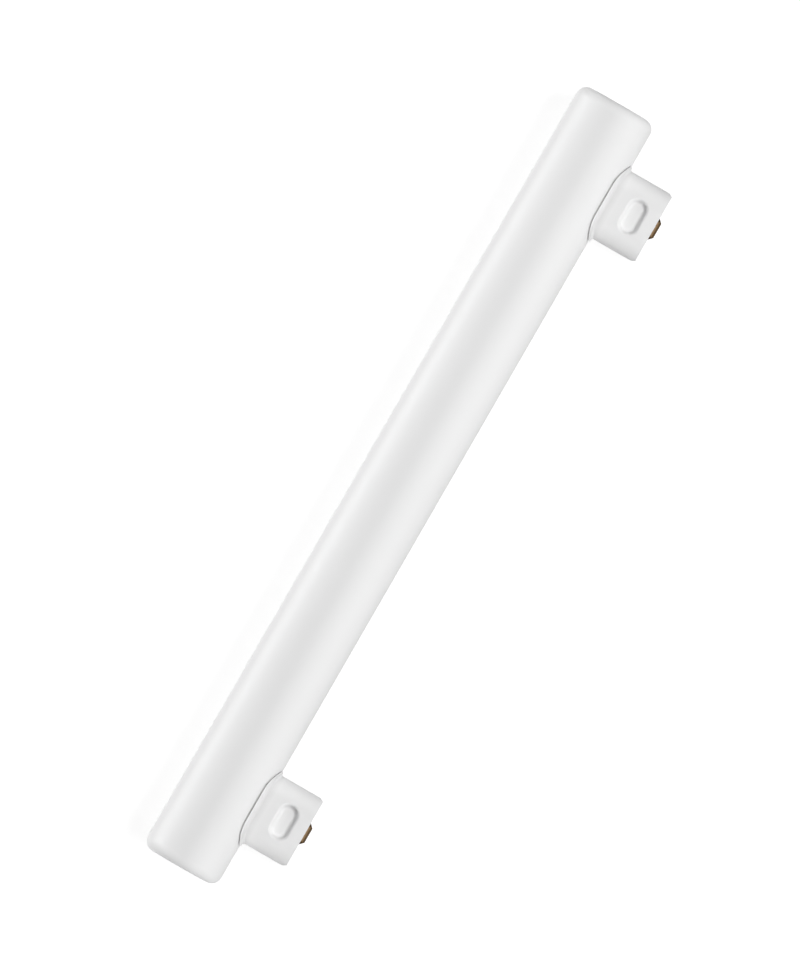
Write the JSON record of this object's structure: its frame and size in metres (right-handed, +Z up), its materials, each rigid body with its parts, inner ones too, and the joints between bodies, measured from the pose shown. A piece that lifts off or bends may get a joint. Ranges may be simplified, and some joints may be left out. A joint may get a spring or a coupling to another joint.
{
  "type": "tubular light bulb",
  "caption": "Linear opal tube lamp with moulded white caps on its side, each with a saddle flange, snap-in dents and a brass end contact.",
  "frame": {"origin": "under the middle of the lamp's box, on the surface that it lies on", "axes": "+X along the tube, +Z up, caps towards -Y and drooping until their end faces' lower edges touch the surface"},
  "size_m": [0.3, 0.047, 0.029],
  "materials": {
    "opal_glass": "opal, satin, opaque white",
    "white_plastic": "moulded, fine satin",
    "contact_brass": "pressed, dull"
  },
  "bodies": {
    "root": {"opal_tube": "opal_glass", "left_cap": "white_plastic", "right_cap": "white_plastic", "left_contact": "contact_brass", "right_contact": "contact_brass"}
  },
  "joints": []
}
